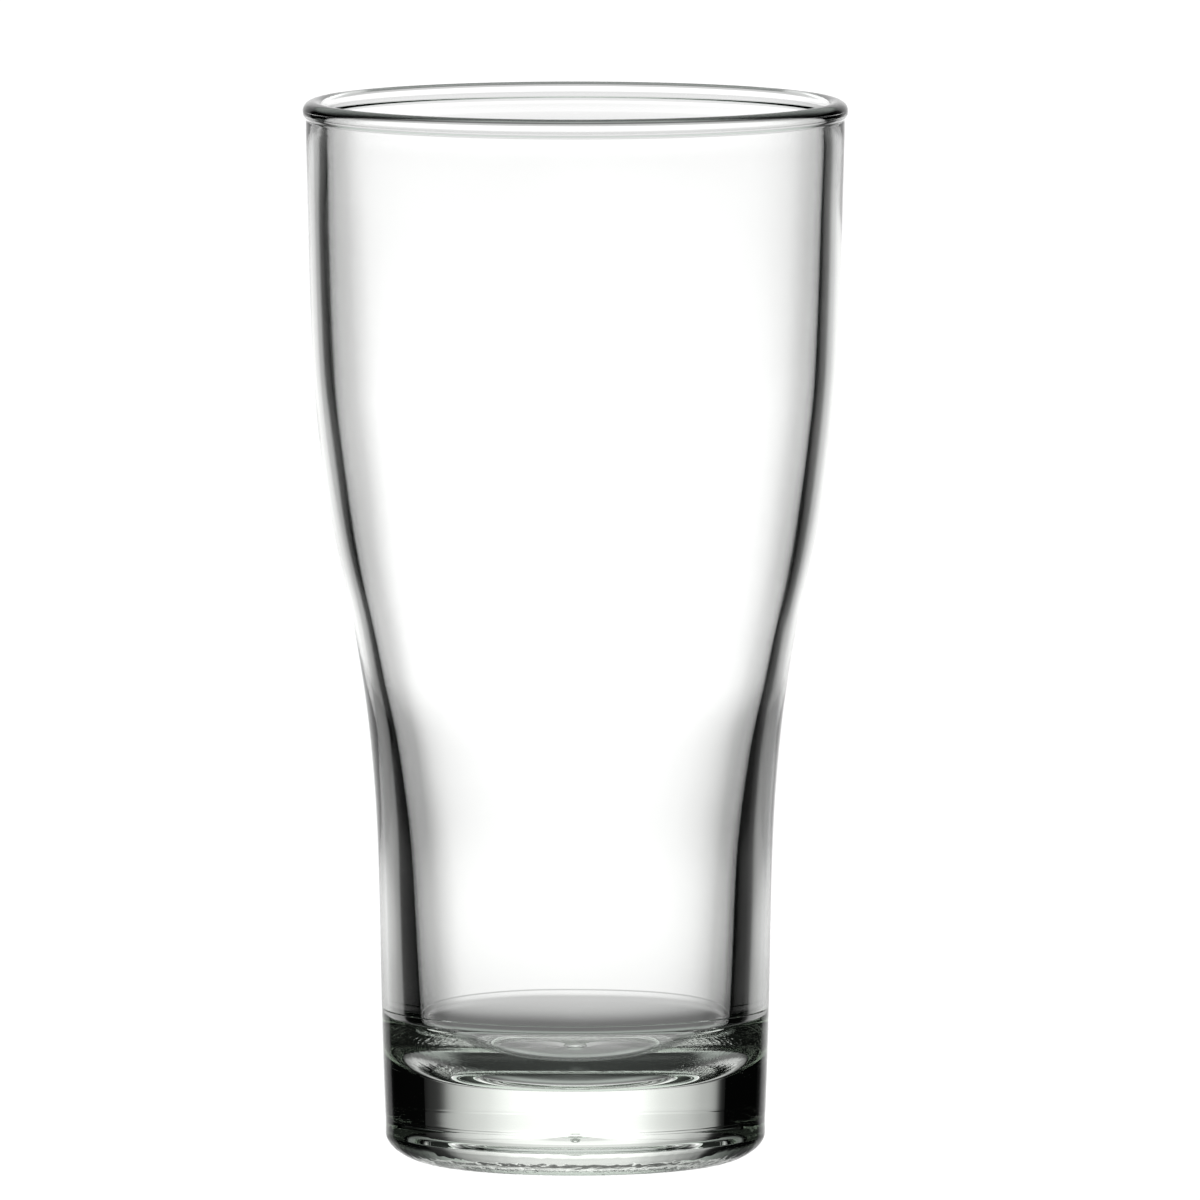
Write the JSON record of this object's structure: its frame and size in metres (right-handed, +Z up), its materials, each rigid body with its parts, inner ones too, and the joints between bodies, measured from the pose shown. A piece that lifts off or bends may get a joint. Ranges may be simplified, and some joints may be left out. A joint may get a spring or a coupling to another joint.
{
  "type": "pint glass",
  "caption": "Clear waisted beer glass with a rolled rim bead, a flaring bowl, a thick solid base with a dished floor, and a flat standing ring round a shallow flat-topped recess.",
  "frame": {"origin": "on the glass's axis, at the plane of the ring that it stands on", "axes": "+Z up along the axis, from the foot to the rim; the glass is round about +Z"},
  "size_m": [0.0882, 0.0882, 0.1724],
  "materials": {
    "clear_glass": "clear, colourless with a very slight green in the thickest parts, fire-polished"
  },
  "bodies": {
    "root": {"rim_bead": "clear_glass", "bowl_wall": "clear_glass", "flare_wall": "clear_glass", "waist_wall": "clear_glass", "base_slug": "clear_glass", "foot_disc": "clear_glass"}
  },
  "joints": []
}
